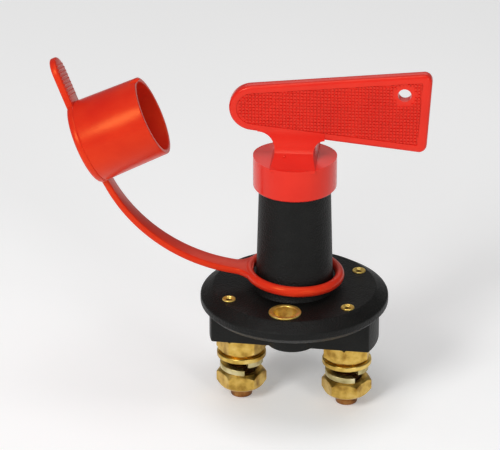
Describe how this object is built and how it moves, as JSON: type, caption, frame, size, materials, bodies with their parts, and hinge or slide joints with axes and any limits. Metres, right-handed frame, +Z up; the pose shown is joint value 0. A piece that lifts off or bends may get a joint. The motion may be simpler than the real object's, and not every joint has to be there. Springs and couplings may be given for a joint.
{
  "type": "battery isolator switch",
  "caption": "Key-turned battery isolator switch with a round riveted flange, threaded terminals, a lift-out blade key and a tethered dust cap.",
  "frame": {"origin": "on the mounting plane, the underside of the flange, under the centre of the post", "axes": "+Z up the post; X through both terminal studs; Y through both mounting holes, with -Y the front"},
  "size_m": [0.137, 0.068, 0.1308],
  "materials": {
    "black_plastic": "fine moulded texture",
    "eyelet_brass": "dull",
    "nylon": "satin",
    "red_plastic": "glossy moulded",
    "copper": "plain",
    "stud_copper": "turned",
    "spring_steel": "plain",
    "pale_brass": "plated",
    "soft_red": "soft satin",
    "nut_brass": "machined"
  },
  "bodies": {
    "root": {"upper_housing": "black_plastic", "lower_housing": "black_plastic", "mounting_bush_front": "eyelet_brass", "mounting_bush_rear": "eyelet_brass", "rivet_front_left": "eyelet_brass", "rivet_front_right": "eyelet_brass", "rivet_rear_left": "eyelet_brass", "rivet_rear_right": "eyelet_brass", "return_spring": "spring_steel", "terminal_stud_left": "stud_copper", "terminal_stud_right": "stud_copper", "base_nut_left": "nut_brass", "base_nut_right": "nut_brass", "flat_washer_left": "nut_brass", "flat_washer_right": "nut_brass", "spring_washer_left": "pale_brass", "spring_washer_right": "pale_brass", "terminal_nut_left": "nut_brass", "terminal_nut_right": "nut_brass"},
    "rotor": {"rotor": "nylon"},
    "key": {"key": "red_plastic"},
    "contacts": {"plunger": "nylon", "contact_bridge": "copper", "bridge_clip": "spring_steel", "contact_spring": "spring_steel"},
    "cover_ring": {"cover_ring": "soft_red"},
    "strap": {"strap_middle": "soft_red"},
    "cap": {"cover_cap": "soft_red"}
  },
  "joints": [
    {"name": "key_turn", "type": "hinge", "parent": "root", "child": "rotor", "pos_m": [0, 0, 0.0235], "axis": [0, 0, 1], "range_deg": [-90, 0]},
    {"name": "key_lift", "type": "slide", "parent": "rotor", "child": "key", "axis": [0, 0, 1], "range_m": [0, 0.042]},
    {"name": "contact_travel", "type": "slide", "parent": "root", "child": "contacts", "axis": [0, 0, -1], "range_m": [0, 0.004], "deforming": ["return_spring"]},
    {"name": "cover_swivel", "type": "hinge", "parent": "root", "child": "cover_ring", "pos_m": [0, 0, 0.0128], "axis": [0, 0, 1], "range_deg": [-140, 45]},
    {"name": "strap_bend", "type": "hinge", "parent": "cover_ring", "child": "strap", "pos_m": [-0.03286, -0.00345, 0.01732], "axis": [-0.1045, 0.9945, 0], "range_deg": [-30, 14], "stiffness_Nm_per_rad": 0.15},
    {"name": "cap_bend", "type": "hinge", "parent": "strap", "child": "cap", "pos_m": [-0.05864, -0.00616, 0.03526], "axis": [-0.1045, 0.9945, 0], "range_deg": [-30, 14]}
  ],
  "couplings": [
    {"joint": "contact_travel", "follows": "key_turn", "m_per_rad": -0.0025464},
    {"joint": "cap_bend", "follows": "strap_bend", "ratio": 1}
  ]
}
